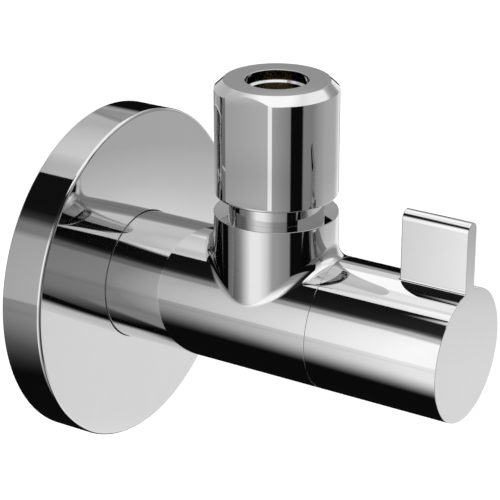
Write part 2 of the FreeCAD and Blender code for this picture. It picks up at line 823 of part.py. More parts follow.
def make_spline_insert():
    back = f"{HUB_BACK} + running_clearance"
    front = f"{HUB_FRONT} - running_clearance"
    outer = f"2 * ({INSERT_RADIUS} - seating_clearance)"
    body = tube("spline_insert", back, front, STEM_SEAT, outer)
    screw_hole(body, "insert_hole")
    keep(body)


# A socket grub screw enters from below and holds the handle on the spindle.
def make_grub_screw():
    down = FreeCAD.Rotation(Vector(1, 0, 0), 180)
    tip = f"{STEM_RADIUS} + running_clearance"
    length = f"{BARREL_RADIUS} - screw_recess - ({tip})"
    blank = doc.addObject("Part::Cylinder", "screw_blank")
    bind(blank, "Radius", "screw_diameter / 2")
    bind(blank, "Height", length)
    socket = doc.addObject("Part::Prism", "screw_socket_cut")
    socket.Polygon = 6
    bind(socket, "Circumradius", "screw_socket / 2 / cos(30)")
    bind(socket, "Height", "2 * screw_socket_depth")
    bind(socket, "Placement.Base.z", f"{length} - screw_socket_depth")
    screw = doc.addObject("Part::Cut", "handle_grub_screw")
    screw.Base = blank
    screw.Tool = socket
    screw.Placement = FreeCAD.Placement(Vector(0, 0, 0), down)
    bind(screw, "Placement.Base.y", f"-({SCREW})")
    bind(screw, "Placement.Base.z", f"-({tip})")
    doc.recompute()
    keep(screw)


make_valve_body()
make_inlet_seal()
make_escutcheon()
make_escutcheon_ring()
make_union_nut()
make_compression_ring()
make_headpart_housing()
make_headpart_ring()
make_seat_seal()
make_discs()
make_spindle()
make_spindle_rings()
make_slip_washer()
make_circlip()
make_stop_ring()
make_handle()
make_spline_insert()
make_grub_screw()
doc.recompute()

for member in doc.Objects:
    if "Invalid" in member.State or "Error" in member.State:
        raise RuntimeError(f"{member.Label} did not recompute: {member.State}")

for piece in PIECES:
    if piece.Shape.isNull() or not piece.Shape.isValid():
        raise RuntimeError(f"{piece.Label} has no valid shape")

os.makedirs("parts", exist_ok=True)
for piece in PIECES:
    piece.Shape.exportStep(f"parts/{piece.Label}.step")
    print(piece.Label, len(piece.Shape.Solids), round(piece.Shape.Volume, 2))
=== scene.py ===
import math

import bmesh
import bpy
from mathutils import Matrix, Vector


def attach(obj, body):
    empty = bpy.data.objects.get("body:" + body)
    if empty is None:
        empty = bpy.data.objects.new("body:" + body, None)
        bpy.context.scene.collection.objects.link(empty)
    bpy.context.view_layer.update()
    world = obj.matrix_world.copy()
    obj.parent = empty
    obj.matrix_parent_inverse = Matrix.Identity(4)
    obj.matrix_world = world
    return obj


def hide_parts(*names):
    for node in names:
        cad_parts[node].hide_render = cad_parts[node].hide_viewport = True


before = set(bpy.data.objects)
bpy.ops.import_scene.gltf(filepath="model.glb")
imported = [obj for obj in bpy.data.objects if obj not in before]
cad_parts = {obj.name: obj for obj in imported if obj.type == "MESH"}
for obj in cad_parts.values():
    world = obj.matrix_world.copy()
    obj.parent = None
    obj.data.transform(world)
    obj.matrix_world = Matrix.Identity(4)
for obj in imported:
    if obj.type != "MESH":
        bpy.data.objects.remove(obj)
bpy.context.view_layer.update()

MM = 0.001

# The valve body: one brass casting, turned, polished and chromed outside. The barrel stands out
# from the wall along -Y, and the branch rises from it to the threaded spigot for the nut.


class Wire:
    """One output of a shader node. Sums written on it add the Math nodes that work them out."""

    def __init__(self, tree, socket):
        self.tree = tree
        self.socket = socket

    def sum(self, operation, first, second=None):
        node = self.tree.nodes.new("ShaderNodeMath")
        node.operation = operation
        for socket, value in zip(node.inputs, (first, second)):
            plug(self.tree, socket, value)
        return Wire(self.tree, node.outputs[0])

    def __add__(self, other):
        return self.sum("ADD", self, other)

    def __radd__(self, other):
        return self.sum("ADD", other, self)

    def __sub__(self, other):
        return self.sum("SUBTRACT", self, other)

    def __rsub__(self, other):
        return self.sum("SUBTRACT", other, self)

    def __mul__(self, other):
        return self.sum("MULTIPLY", self, other)

    def __rmul__(self, other):
        return self.sum("MULTIPLY", other, self)

    def __truediv__(self, other):
        return self.sum("DIVIDE", self, other)


def plug(tree, socket, value):
    """Sets a socket to a value, or links a wire to it."""
    if isinstance(value, Wire):
        tree.links.new(value.socket, socket)
    elif value is not None:
        socket.default_value = value


class Recipe:
    """The nodes of one material, which is made here by its name, or of the studio's world."""

    def __init__(self, owner):
        self.material = bpy.data.materials.new(owner) if isinstance(owner, str) else owner
        self.material.use_nodes = True
        self.tree = self.material.node_tree
        self.tree.nodes.clear()

    def node(self, kind, settings=None, inputs=None, output=0):
        """Adds a node: its settings first, then its sockets by name or number."""
        made = self.tree.nodes.new(kind)
        for name, value in (settings or {}).items():
            if name == "stops":
                ramp = made.color_ramp.elements
                while len(ramp) < len(value):
                    ramp.new(1.0)
                for stop, (place, tone) in zip(ramp, value):
                    stop.position = place
                    stop.color = (tone, tone, tone, 1.0)
            else:
                setattr(made, name, value)
        for name, value in (inputs or {}).items():
            plug(self.tree, made.inputs[name], value)
        return Wire(self.tree, made.outputs[output]) if made.outputs else None

    def finish(self, sockets):
        """Closes a material with one surface shader and gives the material."""
        shader = self.node("ShaderNodeBsdfPrincipled", {}, sockets)
        self.node("ShaderNodeOutputMaterial", {}, {"Surface": shader})
        return self.material

    def cloud(self, scale, detail=2.0, roughness=0.5, stretch=(1.0, 1.0, 1.0)):
        """Noise on the object's own coordinates, in patches of about 1 / scale metres."""
        place = self.node("ShaderNodeTexCoord", output="Object")
        place = self.node("ShaderNodeMapping", {}, {"Vector": place, "Scale": stretch})
        inputs = {"Vector": place, "Scale": scale, "Detail": detail, "Roughness": roughness}
        return self.node("ShaderNodeTexNoise", {}, inputs)

    def blend(self, share, first, second):
        """A colour between two, by a share that a wire gives."""
        inputs = {0: share, 6: (*first, 1.0), 7: (*second, 1.0)}
        return self.node("ShaderNodeMix", {"data_type": "RGBA"}, inputs, output=2)

    def bump(self, height, depth):
        """A normal for a surface whose height runs over so many metres."""
        inputs = {"Strength": 1.0, "Distance": depth, "Height": height}
        return self.node("ShaderNodeBump", {}, inputs)


def chrome(name, tone, haze):
    """Bright plating over polished brass: a mirror with faint clouding and polishing marks."""
    paint = Recipe(name)
    cloud = paint.cloud(scale=260.0)
    marks = paint.cloud(scale=5200.0, roughness=0.6)
    dull, bright = tone * 0.985, tone * 1.015
    return paint.finish(
        {
            "Base Color": paint.blend(cloud, (dull, dull, dull), (bright, bright, bright)),
            "Metallic": 1.0,
            "Roughness": haze * (0.8 + 0.4 * cloud),
            "Normal": paint.bump(marks, depth=0.0000004),
        }
    )


polished_chrome = chrome("polished_chrome", tone=0.62, haze=0.03)


def brass(name, tint, haze):
    """Machined brass, left bare: turning marks and a little tarnish."""
    paint = Recipe(name)
    tarnish = paint.cloud(scale=420.0, detail=4.0, roughness=0.6)
    marks = paint.cloud(scale=900.0, roughness=0.6, stretch=(1.0, 12.0, 1.0))
    worn = tuple(part * 0.72 for part in tint)
    return paint.finish(
        {
            "Base Color": paint.blend(tarnish, tint, worn),
            "Metallic": 1.0,
            "Roughness": haze + 0.12 * tarnish,
            "Normal": paint.bump(marks, depth=0.000004),
        }
    )


turned_brass = brass("turned_brass", tint=(0.80, 0.60, 0.30), haze=0.22)

# Radii, places along an axis and depths, all in millimetres.
BARREL = 11.5
BARREL_BACK = 2.02
BARREL_FRONT = 48.6
BRANCH = 10.65
BRANCH_AT = 36.2
BRANCH_TOP = 18.05
ROOT_BACK = 20.0
ROOT_FRONT = 51.0
ROOT_FILLET = 2.2
EDGE = 0.12
SEAM = 0.05
NECK = 8.2
NECK_FILLET = 0.02
FILLET_STEPS = 8
SPIGOT = 8.331
SPIGOT_DEPTH = 0.856
SPIGOT_PITCH = 1.337
SPIGOT_TOP = 34.4
SPIGOT_CHAMFER = 0.75
SOCKET = 5.1
SOCKET_FLOOR = 24.0
THREAD_FROM = 22.25
THREAD_STEPS = 97
THREAD_FLANK = 1.35
RUNOUT_SLOPE = 1.2
INLET = 10.4775
INLET_DEPTH = 1.162
INLET_PITCH = 1.814
INLET_END = -12.0
INLET_LEAD = 9.35
INLET_STEPS = 96
NECK_GROOVE = 9.2
CHAMBER = 7.5
CHAMBER_BACK = 26.0
CHAMBER_FRONT = 40.8
SEAT_AT = 22.0
SEAT = 4.5
HEADPART_FROM = 41.0
HEADPART_BORE = 8.35
HEADPART_SHOULDER = 46.2
MOUTH_BORE = 8.9
WATERWAY = 6.5
OUTLET = 4.0

AROUND = 256
WELD = 0.0005
NEAR = 0.001
ON_PLANE = 0.00001
FULL_TURN = 2.0 * math.pi
QUARTER = math.pi / 2.0
CREASE = math.radians(35.0)
SAME_SIDE = 0.9
OUT = (0.0, 1.0)


def on_axis(turn, along, out):
    """A point by its turn from the top, its distance from the wall and from the valve's axis."""
    return Vector((out * math.sin(turn), -along, out * math.cos(turn)))


def on_branch(turn, height, out):
    """A point by its bearing from the right, its height and its distance from the branch's axis."""
    return Vector((out * math.cos(turn), -BRANCH_AT - out * math.sin(turn), height))


def hoop(way, turns, along, radius, lean=None):
    """The spots of a ring round an axis, each with the direction that its face looks in."""
    radii = radius if isinstance(radius, list) else [radius] * len(turns)
    spots = []
    for turn, out in zip(turns, radii):
        looks = way(turn, *lean) - way(turn, 0.0, 0.0) if lean else None
        spots.append((way(turn, along, out), looks))
    return spots


class Skin:
    """A mesh under way, in millimetres. Each ring of vertices is pulled from the one before it.

    A vertex on a curved face also keeps the direction that the true face looks in, which the
    finished mesh uses for its shading. New faces take the coat that is set at the time.
    """

    def __init__(self):
        self.bm = bmesh.new()
        self.lean = self.bm.verts.layers.float_vector.new("lean")
        self.coat = 0

    def put(self, vertices, spots):
        for vertex, (place, lean) in zip(vertices, spots):
            vertex.co = place
            vertex[self.lean] = lean or (0.0, 0.0, 0.0)

    def dress(self, faces, smooth=True):
        for face in faces:
            face.smooth = smooth
            face.material_index = self.coat

    def ring(self, spots):
        """A first ring, which starts as a circle of as many vertices."""
        made = bmesh.ops.create_circle(self.bm, segments=len(spots), radius=1.0)["verts"]
        made.sort(key=lambda vertex: math.atan2(vertex.co.y, vertex.co.x) % FULL_TURN)
        self.put(made, spots)
        return made

    def edges(self, ring):
        return [self.bm.edges.get(pair) for pair in zip(ring, ring[1:] + ring[:1])]

    def pull(self, ring, spots):
        """Extrudes a ring and puts the new vertices at the spots."""
        made = bmesh.ops.extrude_edge_only(self.bm, edges=self.edges(ring))["geom"]
        self.dress(item for item in made if isinstance(item, bmesh.types.BMFace))
        fresh = {item for item in made if isinstance(item, bmesh.types.BMVert)}
        pulled = []
        for vertex in ring:
            others = (edge.other_vert(vertex) for edge in vertex.link_edges)
            pulled.append(next(other for other in others if other in fresh))
        self.put(pulled, spots)
        return pulled

    def bridge(self, ring, other):
        made = bmesh.ops.bridge_loops(self.bm, edges=self.edges(ring) + self.edges(other))
        self.dress(made["faces"])

    def close(self, edges):
        """Closes a flat opening with one face."""
        self.dress(bmesh.ops.edgeloop_fill(self.bm, edges=edges)["faces"], smooth=False)

    def rim(self, inside):
        """The vertices of the open edge that lies inside, in order."""
        edges = dict.fromkeys(
            edge for edge in self.bm.edges if edge.is_boundary and all(map(inside, edge.verts))
        )
        vertex = next(iter(edges)).verts[0]
        ordered = []
        while edge := next((edge for edge in vertex.link_edges if edge in edges), None):
            del edges[edge]
            ordered.append(vertex)
            vertex = edge.other_vert(vertex)
        return ordered

    def cut(self, place, direction, inside):
        """Cuts away what lies beyond a plane, among the faces whose middles are inside."""
        faces = [face for face in self.bm.faces if inside(face.calc_center_median())]
        edges = dict.fromkeys(edge for face in faces for edge in face.edges)
        corners = dict.fromkeys(vertex for face in faces for vertex in face.verts)
        bmesh.ops.bisect_plane(
            self.bm,
            geom=faces + list(edges) + list(corners),
            dist=ON_PLANE,
            plane_co=place,
            plane_no=direction,
        )
        place, direction = Vector(place), Vector(direction)
        beyond = []
        for face in self.bm.faces:
            middle = face.calc_center_median()
            if inside(middle) and (middle - place).dot(direction) > ON_PLANE:
                beyond.append(face)
        bmesh.ops.delete(self.bm, geom=beyond, context="FACES")


def border(count, back, front):
    """Turns and distances round half a barrel's edge, from the middle of its right side."""
    side = count // 4
    spots = []
    for index in range(side // 2, side // 2 + count):
        edge, part = divmod(index, side)
        part /= side
        spots.append(
            (
                (QUARTER, back + (front - back) * part),
                (QUARTER - math.pi * part, front),
                (-QUARTER, front + (back - front) * part),
                (-QUARTER + math.pi * part, back),
            )[edge % 4]
        )
    return spots


def spread(skin, rim, radius, edge, steps, upwards=1.0):
    """Spreads from the rim of a side hole over half a barrel, out to its edge."""
    starts = [(math.atan2(v.co.x, upwards * v.co.z), -v.co.y) for v in rim]
    for step in range(1, steps + 1):
        share = (step / steps) ** 1.4
        spots = []
        for (turn, along), (turn_goal, along_goal) in zip(starts, edge):
            looks = on_axis(turn + (turn_goal - turn) * share, 0.0, 1.0)
            looks.z *= upwards
            reach = along + (along_goal - along) * share
            spots.append((looks * radius - Vector((0.0, reach, 0.0)), looks))
        rim = skin.pull(rim, spots)
    return rim


def side_hole(edge, radius, middle, size, upwards=1.0):
    """The rim of a round hole in a barrel's side, facing its edge point for point."""
    spots = []
    for turn, along in edge:
        bearing = math.atan2(along - middle, radius * turn)
        across = size * math.cos(bearing) / radius
        looks = Vector((across, 0.0, upwards * math.sqrt(1.0 - across**2)))
        reach = middle + size * math.sin(bearing)
        spots.append((looks * radius - Vector((0.0, reach, 0.0)), looks))
    return spots


def half_turn(skin, skirt, radius, upwards=-1.0):
    """Closes the other half of a barrel: its right side turns until it meets its left side."""
    side = len(skirt) // 4
    chain = skirt[-side // 2 :] + skirt[: side // 2 + 1]
    edges = [skin.bm.edges.get(pair) for pair in zip(chain, chain[1:])]
    old = set(skin.bm.faces)
    bmesh.ops.spin(
        skin.bm,
        geom=chain + edges,
        cent=(0.0, 0.0, 0.0),
        axis=(0.0, -upwards, 0.0),
        dvec=(0.0, 0.0, 0.0),
        angle=math.pi,
        steps=side,
        use_merge=False,
        use_duplicate=False,
    )
    new = [face for face in skin.bm.faces if face not in old]
    skin.dress(new)
    for vertex in {vertex for face in new for vertex in face.verts}:
        vertex[skin.lean] = Vector((vertex.co.x, 0.0, vertex.co.z)) / radius
    bmesh.ops.remove_doubles(skin.bm, verts=skin.bm.verts, dist=WELD)


def roll_down(skin, plan, radius, fillet, steps):
    """A rolled root: from upright walls on a plan, down and out on to the barrel."""
    places = []
    for x, along, out_x, out_along in plan:
        wall = Vector((out_x, -out_along, 0.0))
        middle = Vector((x, -along, 0.0)) + wall * fillet
        middle.z = math.sqrt((radius + fillet) ** 2 - middle.x**2)
        foot = Vector((middle.x, 0.0, middle.z)).normalized()
        places.append((middle, wall, foot))
    rings = []
    for step in range(steps + 1):
        spots = []
        for middle, wall, foot in places:
            looks = wall.slerp(foot, step / steps)
            spots.append((middle - looks * fillet, looks))
        rings.append(skin.pull(rings[-1], spots) if rings else skin.ring(spots))
    return rings[0], rings[-1]


def thread(turns, along, crest, depth, pitch):
    """The radii of a right-hand pipe thread round a ring: straight flanks, blunt crests."""
    radii = []
    for turn in turns:
        place = (along / pitch + turn / FULL_TURN) % 1.0
        wave = THREAD_FLANK * (1.0 - 4.0 * abs(place - 0.5))
        radii.append(crest - depth / 2.0 * (1.0 - max(-1.0, min(1.0, wave))))
    return radii


def between(radii, least, most):
    return [max(least, min(most, radius)) for radius in radii]


def turns_of(ring):
    return [math.atan2(vertex.co.x, vertex.co.z) for vertex in ring]


def standing(along):
    """Picks out the vertices that stand at one distance from the wall."""
    return lambda vertex: abs(vertex.co.y + along) < NEAR


def piece(name, skin, finishes, body, slot, *nodes):
    """Makes a finished skin an object, which rides on a body and stands for CAD nodes."""
    bm = skin.bm
    bmesh.ops.remove_doubles(bm, verts=bm.verts, dist=WELD)
    bmesh.ops.recalc_face_normals(bm, faces=bm.faces)
    for edge in bm.edges:
        edge.smooth = edge.calc_face_angle(0.0) < CREASE
    bmesh.ops.scale(bm, vec=(MM, MM, MM), verts=bm.verts)
    mesh = bpy.data.meshes.new(name)
    bm.to_mesh(mesh)
    bm.free()
    leans = [item.vector.copy() for item in mesh.attributes["lean"].data]
    mesh.attributes.remove(mesh.attributes["lean"])
    normals = [Vector((0.0, 0.0, 0.0))] * len(mesh.loops)
    for polygon in mesh.polygons:
        for corner in polygon.loop_indices if polygon.use_smooth else ():
            lean = leans[mesh.loops[corner].vertex_index]
            facing = lean.dot(polygon.normal)
            if abs(facing) > SAME_SIDE:
                normals[corner] = lean.normalized() * math.copysign(1.0, facing)
    mesh.normals_split_custom_set(normals)
    for finish in finishes:
        mesh.materials.append(finish)
    made = bpy.data.objects.new(name, mesh)
    bpy.context.scene.collection.objects.link(made)
    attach(made, body)
    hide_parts(*nodes)


valve = Skin()
edge = border(AROUND, ROOT_BACK, ROOT_FRONT)
bearings = [math.atan2(along - BRANCH_AT, BARREL * turn) for turn, along in edge]
plan = [
    (BRANCH * math.cos(b), BRANCH_AT + BRANCH * math.sin(b), math.cos(b), math.sin(b))
    for b in bearings
]
wall, foot = roll_down(valve, plan, BARREL, ROOT_FILLET, steps=10)
half_turn(valve, spread(valve, foot, BARREL, edge, steps=16), BARREL)

# The branch's walls rise to a crisp ledge. The neck and the spigot's thread follow.
neck_root = []
for step in range(FILLET_STEPS + 1):
    angle = QUARTER * step / FILLET_STEPS
    up, out = math.cos(angle), math.sin(angle)
    rise, narrow = NECK_FILLET * (1.0 - up), NECK_FILLET * (1.0 - out)
    neck_root.append((BRANCH_TOP + rise, NECK + narrow, (up, out)))
for height, radius, lean in (
    (15.0, BRANCH, OUT),
    (BRANCH_TOP - EDGE, BRANCH, OUT),
    (BRANCH_TOP - EDGE * 0.3, BRANCH - EDGE * 0.3, (0.7, 0.7)),
    (BRANCH_TOP, BRANCH - EDGE, (1.0, 0.0)),
    *neck_root,
    (THREAD_FROM, NECK, OUT),
):
    wall = valve.pull(wall, hoop(on_branch, bearings, height, radius, lean))
for step in range(1, THREAD_STEPS + 1):
    height = THREAD_FROM + (SPIGOT_TOP - THREAD_FROM) * step / THREAD_STEPS
    radii = thread(bearings, height, SPIGOT, SPIGOT_DEPTH, SPIGOT_PITCH)
    runout = NECK - RUNOUT_SLOPE * (height - THREAD_FROM)
    chamfer = SPIGOT - max(0.0, height - SPIGOT_TOP + SPIGOT_CHAMFER)
    wall = valve.pull(wall, hoop(on_branch, bearings, height, between(radii, runout, chamfer)))
wall = valve.pull(wall, hoop(on_branch, bearings, SPIGOT_TOP, 6.65))
valve.coat = 1
for height, radius in (
    (SPIGOT_TOP - 0.05, 6.6),
    (31.8, SOCKET),
    (SOCKET_FLOOR, SOCKET),
    (SOCKET_FLOOR, OUTLET + 0.1),
):
    wall = valve.pull(wall, hoop(on_branch, bearings, height, radius))

# The outlet falls into the headpart's chamber, which opens at the front of the barrel.
edge = border(AROUND, CHAMBER_BACK, CHAMBER_FRONT)
hole = valve.ring(side_hole(edge, CHAMBER, BRANCH_AT, OUTLET))
half_turn(valve, spread(valve, hole, CHAMBER, edge, steps=10), CHAMBER)
hole = valve.rim(
    lambda v: v.co.z > 0.0 and math.hypot(v.co.x, v.co.y + BRANCH_AT) < OUTLET + 0.01
)
spots = [(Vector((v.co.x, v.co.y, SOCKET_FLOOR - 0.1)), None) for v in hole]
valve.bridge(valve.pull(hole, spots), wall)
ring = valve.rim(standing(CHAMBER_FRONT))
turns = turns_of(ring)
for along, radius in (
    (HEADPART_FROM, CHAMBER),
    (HEADPART_FROM, HEADPART_BORE),
    (HEADPART_SHOULDER, HEADPART_BORE),
    (HEADPART_SHOULDER, MOUTH_BORE),
    (BARREL_FRONT - 0.1, MOUTH_BORE),
    (BARREL_FRONT, MOUTH_BORE + 0.1),
):
    ring = valve.pull(ring, hoop(on_axis, turns, along, radius))
mouth = ring

# The barrel's front is faced off, with its edge just broken.
valve.coat = 0
valve.cut(
    (0.0, SEAM - BARREL_FRONT, 0.0),
    (0.0, -1.0, 0.0),
    lambda middle: middle.y < -CHAMBER_FRONT and middle.xz.length > MOUTH_BORE + 0.6,
)
front = valve.rim(standing(BARREL_FRONT - SEAM))
turns = turns_of(front)
reach = [vertex.co.xz.length for vertex in front]
for along, inset in ((BARREL_FRONT - SEAM * 0.3, 0.3), (BARREL_FRONT, 1.0), (BARREL_FRONT, 5.0)):
    radii = [radius - inset * SEAM for radius in reach]
    front = valve.pull(front, hoop(on_axis, turns, along, radii))
valve.bridge(front, mouth)

# Towards the wall the waterway narrows at the valve's seat, then runs out through the inlet.
valve.coat = 1
ring = valve.rim(standing(CHAMBER_BACK))
turns = turns_of(ring)
for along, radius in (
    (SEAT_AT, CHAMBER),
    (SEAT_AT, SEAT),
    (SEAT_AT - 2.0, WATERWAY),
    (INLET_END + 0.2, WATERWAY),
    (INLET_END, WATERWAY + 0.2),
    (INLET_END, INLET_LEAD - 0.35),
):
    ring = valve.pull(ring, hoop(on_axis, turns, along, radius))
valve.coat = 0
for step in range(INLET_STEPS + 1):
    along = INLET_END - INLET_END * step / INLET_STEPS
    radii = thread(turns, along, INLET, INLET_DEPTH, INLET_PITCH)
    chamfer = INLET_LEAD + (along - INLET_END) * RUNOUT_SLOPE
    ring = valve.pull(ring, hoop(on_axis, turns, along, between(radii, 0.0, chamfer)))
for along, radius, lean in (
    (0.0, NECK_GROOVE, None),
    (BARREL_BACK, NECK_GROOVE, None),
    (BARREL_BACK, BARREL - EDGE, (1.0, 0.0)),
    (BARREL_BACK + EDGE * 0.3, BARREL - EDGE * 0.3, (-0.7, 0.7)),
    (BARREL_BACK + EDGE, BARREL, OUT),
    (ROOT_BACK, BARREL, OUT),
):
    ring = valve.pull(ring, hoop(on_axis, turns, along, radius, lean))
finishes = [polished_chrome, turned_brass]
piece("valve_casting", valve, finishes, "valve", "chromed_brass", "valve_body")

# The inlet's flat seal: a nylon ring, pressed on to the neck behind the barrel. The body clamps
# it against the wall's fitting when the valve is screwed home.


def moulded(name, tint, haze, mottle):
    """Rubber or plastic from a mould: nearly even, with a fine dull grain."""
    paint = Recipe(name)
    cloud = paint.cloud(scale=700.0, detail=4.0, roughness=0.6)
    grain = paint.cloud(scale=9000.0, roughness=0.6)
    other = tuple(part * mottle for part in tint)
    return paint.finish(
        {
            "Base Color": paint.blend(cloud, tint, other),
            "Roughness": haze * (0.85 + 0.3 * cloud),
            "Normal": paint.bump(grain, depth=0.000004),
        }
    )


def finish_nodes(finish, *nodes):
    for node in nodes:
        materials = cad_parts[node].data.materials
        materials.clear()
        materials.append(finish)


natural_nylon = moulded("natural_nylon", (0.78, 0.77, 0.72), haze=0.45, mottle=0.93)
finish_nodes(natural_nylon, "inlet_seal_ring")

# The headpart: a bought cartridge that screws into the barrel's front. Its brass housing and
# spindle are turned, its two discs are sintered ceramic, and rubber rings seal it.
soft_rubber = moulded("soft_rubber", (0.018, 0.018, 0.019), haze=0.5, mottle=1.6)
white_acetal = moulded("white_acetal", (0.82, 0.82, 0.80), haze=0.35, mottle=0.95)
lapped_ceramic = moulded("lapped_ceramic", (0.86, 0.84, 0.78), haze=0.12, mottle=0.97)


def spring_steel():
    """Drawn steel, bright with fine drawing lines along its bends."""
    paint = Recipe("drawn_steel")
    lines = paint.cloud(scale=1500.0, roughness=0.7, stretch=(1.0, 10.0, 1.0))
    return paint.finish(
        {
            "Base Color": paint.blend(lines, (0.50, 0.50, 0.50), (0.62, 0.61, 0.60)),
            "Metallic": 1.0,
            "Roughness": 0.24 + 0.12 * lines,
            "Normal": paint.bump(lines, depth=0.000003),
        }
    )


drawn_steel = spring_steel()
finish_nodes(turned_brass, "headpart_housing", "spindle")
finish_nodes(lapped_ceramic, "fixed_ceramic_disc", "turning_ceramic_disc")
finish_nodes(soft_rubber, "headpart_o_ring", "seat_seal")
finish_nodes(soft_rubber, "spindle_o_ring_inner", "spindle_o_ring_outer")
finish_nodes(natural_nylon, "seal_support_ring")
finish_nodes(white_acetal, "slip_washer", "stop_ring")
finish_nodes(drawn_steel, "spindle_circlip")

# The wall escutcheon: a deep-drawn sheet cup, chromed outside and duller within. Its collar is
# rolled round a rubber ring, which grips the barrel and lets the cup slide up to the tiles.


def eased(corners, steps=4):
    """A closed outline from corners (along, radius, edge radius), with their edges rounded."""
    outline = []
    for index, (along, radius, edge) in enumerate(corners):
        corner = Vector((along, radius))
        back = (Vector(corners[index - 1][:2]) - corner).normalized()
        ahead = (Vector(corners[(index + 1) % len(corners)][:2]) - corner).normalized()
        half = back.angle(ahead) / 2.0
        middle = corner + (back + ahead).normalized() * edge / math.sin(half)
        start, end = (corner + run * edge / math.tan(half) - middle for run in (back, ahead))
        for step in range(steps + 1):
            looks = start.slerp(end, step / steps).normalized()
            outline.append((*(middle + looks * edge), tuple(looks)))
    return outline


def turned(skin, way, count, outline):
    """Turns a closed outline round an axis."""
    turns = [FULL_TURN * index / count for index in range(count)]
    ring = None
    for along, radius, looks in outline + outline[:1]:
        spots = hoop(way, turns, along, radius, looks)
        ring = skin.pull(ring, spots) if ring else skin.ring(spots)


dull_chrome = chrome("dull_chrome", tone=0.74, haze=0.3)
CUP = 30.0
CUP_BORE = 29.2
CUP_FLOOR = 7.2
cup = Skin()
turned(
    cup,
    on_axis,
    AROUND,
    eased(
        [
            (0.0, CUP_BORE, 0.1),
            (0.0, CUP, 0.3),
            (7.9, CUP, 0.55),
            (8.2, 20.7, 530.0),
            (8.2, 11.6, 0.12),
            (6.1, 11.6, 0.12),
            (6.1, 13.0, 0.1),
            (4.1, 13.0, 0.1),
            (4.1, 11.6, 0.12),
            (2.8, 11.6, 0.12),
            (2.8, 12.4, 0.12),
            (3.3, 12.4, 0.1),
            (3.3, 13.8, 0.3),
            (6.9, 13.8, 0.3),
            (6.9, 12.4, 0.1),
            (CUP_FLOOR, 12.4, 0.1),
            (CUP_FLOOR, CUP_BORE, 0.25),
        ]
    ),
)
for face in cup.bm.faces:
    middle = face.calc_center_median()
    hidden = -middle.y < CUP_FLOOR + 0.1 and middle.xz.length < CUP_BORE + 0.1
    face.material_index = 1 if hidden else 0
finishes = [polished_chrome, dull_chrome]
piece("escutcheon_cup", cup, finishes, "escutcheon", "chromed_sheet", "wall_escutcheon")
finish_nodes(soft_rubber, "escutcheon_o_ring")

# The compression ring: a soft brass ring, nickel plated, with a coned end that bites on the tube
# when the nut presses it down into the spigot's mouth.
plated_nickel = chrome("plated_nickel", tone=0.56, haze=0.09)
OLIVE_BORE = 5.03
OLIVE_FOOT = 32.98
olive = Skin()
turned(
    olive,
    on_branch,
    192,
    eased(
        [
            (OLIVE_FOOT, OLIVE_BORE, 0.1),
            (OLIVE_FOOT, 5.60, 0.15),
            (34.367, 6.40, 0.3),
            (38.449, 6.40, 0.3),
            (39.42, 5.4, 0.03),
            (39.05, OLIVE_BORE, 0.03),
        ]
    ),
)
piece("olive", olive, [plated_nickel], "ring", "nickel_ring", "compression_ring")

# The union nut: turned from brass bar and chromed. Two flats for the spanner are milled on it
# above a turned collar, and its thread draws it down over the spigot.
NUT = 10.5
NUT_FOOT = 21.43
NUT_TOP = 41.18
NUT_TOP_FLAT = 8.94
NUT_HOLE = 5.35
FLATS_FROM = 21.83
HALF_ACROSS_FLATS = 9.5
FACET = 0.375
NUT_THREAD = SPIGOT + 0.05
NUT_THREAD_TOP = 35.05
NUT_THREAD_LENGTH = 12.15
nut = Skin()
bearings = [FULL_TURN * index / AROUND for index in range(AROUND)]
profile = [
    (NUT_FOOT + 0.2, NUT_THREAD, None),
    (NUT_FOOT, NUT_THREAD + 0.2, None),
    (NUT_FOOT, NUT - 0.25, (-1.0, 0.0)),
    (NUT_FOOT + 0.0335, NUT - 0.154, (-0.866, 0.5)),
    (NUT_FOOT + 0.125, NUT - 0.0335, (-0.5, 0.866)),
    (NUT_FOOT + 0.25, NUT, OUT),
    (FLATS_FROM, NUT, OUT),
    (39.70, NUT, OUT),
    (39.745, NUT - 0.012, (0.36, 0.93)),
    (39.775, NUT - 0.045, (0.729, 0.685)),
    (41.11, 9.050, (0.777, 0.629)),
    (41.155, 9.010, (0.86, 0.5)),
    (NUT_TOP, NUT_TOP_FLAT, (1.0, 0.0)),
    (NUT_TOP, NUT_HOLE + 0.1, (1.0, 0.0)),
    (NUT_TOP - 0.03, NUT_HOLE + 0.03, (0.7, -0.7)),
    (NUT_TOP - 0.1, NUT_HOLE, (0.0, -1.0)),
    (39.63, NUT_HOLE, (0.0, -1.0)),
    (39.545, NUT_HOLE + 0.035, (-0.38, -0.92)),
    (36.55, 8.38, None),
    (NUT_THREAD_TOP, NUT_THREAD, None),
]
ring = None
for height, radius, lean in profile:
    spots = hoop(on_branch, bearings, height, radius, lean)
    ring = nut.pull(ring, spots) if ring else nut.ring(spots)
for step in range(1, THREAD_STEPS + 1):
    below = NUT_THREAD_LENGTH * step / THREAD_STEPS
    height = NUT_THREAD_TOP - below
    radii = thread(bearings, height, NUT_THREAD, SPIGOT_DEPTH, SPIGOT_PITCH)
    chamfer = NUT_THREAD - RUNOUT_SLOPE * min(below, NUT_THREAD_LENGTH - below)
    ring = nut.pull(ring, hoop(on_branch, bearings, height, between(radii, chamfer, NUT_THREAD)))
ring = nut.pull(ring, hoop(on_branch, bearings, NUT_FOOT + 0.2, NUT_THREAD))
bmesh.ops.remove_doubles(nut.bm, verts=nut.bm.verts, dist=WELD)


